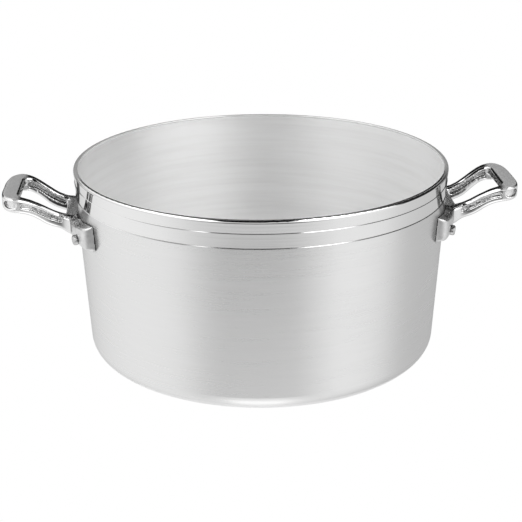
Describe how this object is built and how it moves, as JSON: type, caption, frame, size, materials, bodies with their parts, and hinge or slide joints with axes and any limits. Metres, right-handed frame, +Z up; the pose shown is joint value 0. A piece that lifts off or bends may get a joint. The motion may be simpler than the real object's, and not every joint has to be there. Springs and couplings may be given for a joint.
{
  "type": "stock pot",
  "caption": "Round open cooking pot in spun aluminium, straight tapered wall with a polished band under the rim, and a riveted cast loop handle on each side.",
  "frame": {"origin": "on the pot's axis in the plane of its underside", "axes": "+Z up along the pot's axis, +X through the middle of the right handle, +Y towards the back"},
  "size_m": [0.4412, 0.3194, 0.165],
  "materials": {
    "body": "fine circumferential brush on the wall, floor and inside; polished band under the rim",
    "handle": "cast and polished bright, with rough cast ground left in the recessed panels and scoops",
    "rivet": "satin"
  },
  "bodies": {
    "root": {"pot_body": "body", "handle_right": "handle", "handle_left": "handle", "rivet_right_front": "rivet", "rivet_right_rear": "rivet", "rivet_left_front": "rivet", "rivet_left_rear": "rivet"}
  },
  "joints": []
}
